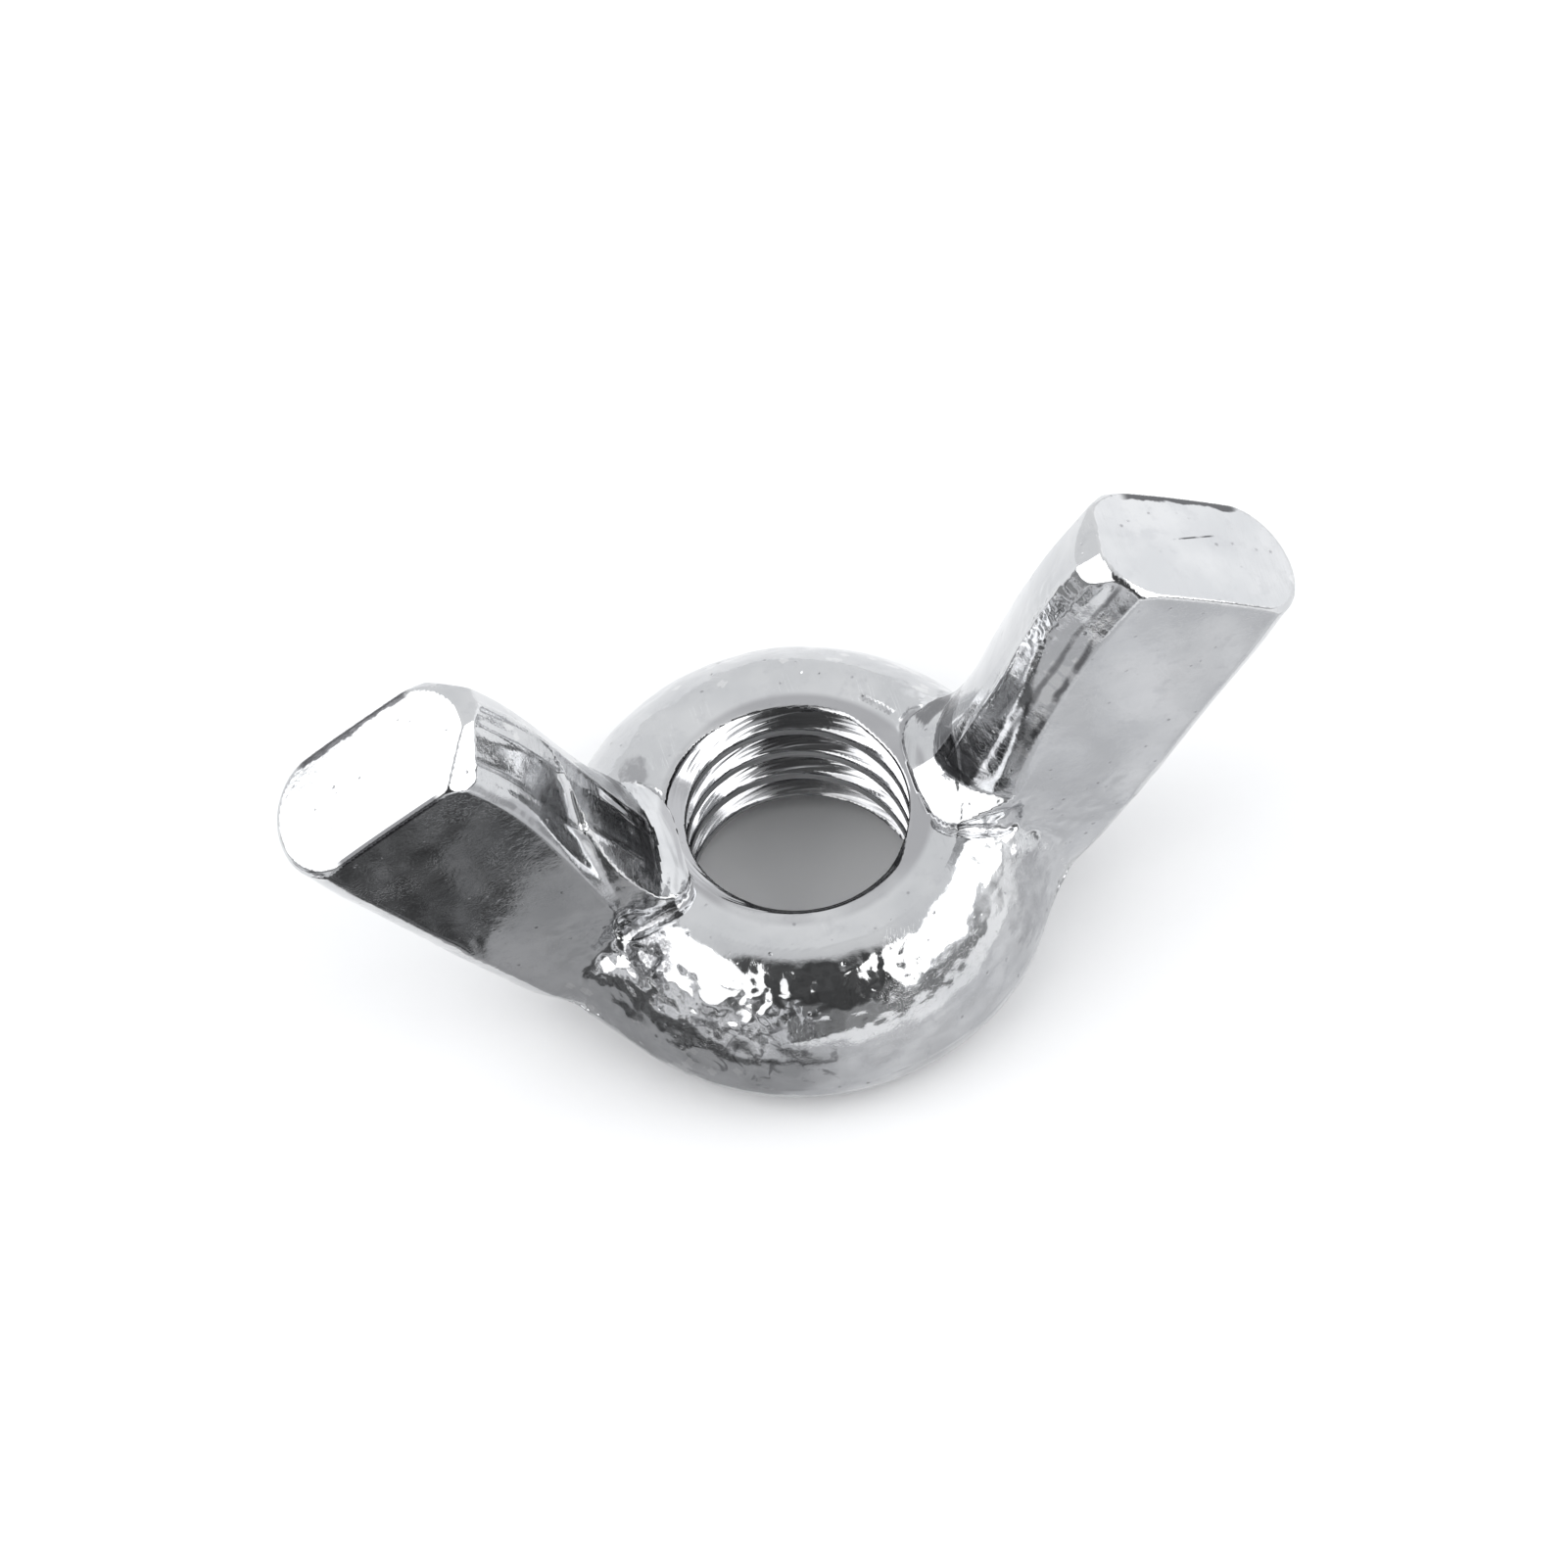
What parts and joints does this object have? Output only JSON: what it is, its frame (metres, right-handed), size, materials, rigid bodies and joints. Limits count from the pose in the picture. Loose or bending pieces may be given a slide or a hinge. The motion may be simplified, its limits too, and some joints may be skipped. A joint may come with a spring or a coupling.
{
  "type": "wing nut",
  "caption": "Forged American-pattern wing nut with two upswept flat-sided wings, a round hub and a threaded through bore.",
  "frame": {"origin": "on the thread's axis, in the plane of the bearing face", "axes": "+Z along the thread's axis from the bearing face towards the wing tips; +X along the line through both wings"},
  "size_m": [0.0308, 0.0156, 0.0151],
  "materials": {
    "bright_steel": "polished"
  },
  "bodies": {
    "root": {"wing_nut": "bright_steel"}
  },
  "joints": []
}
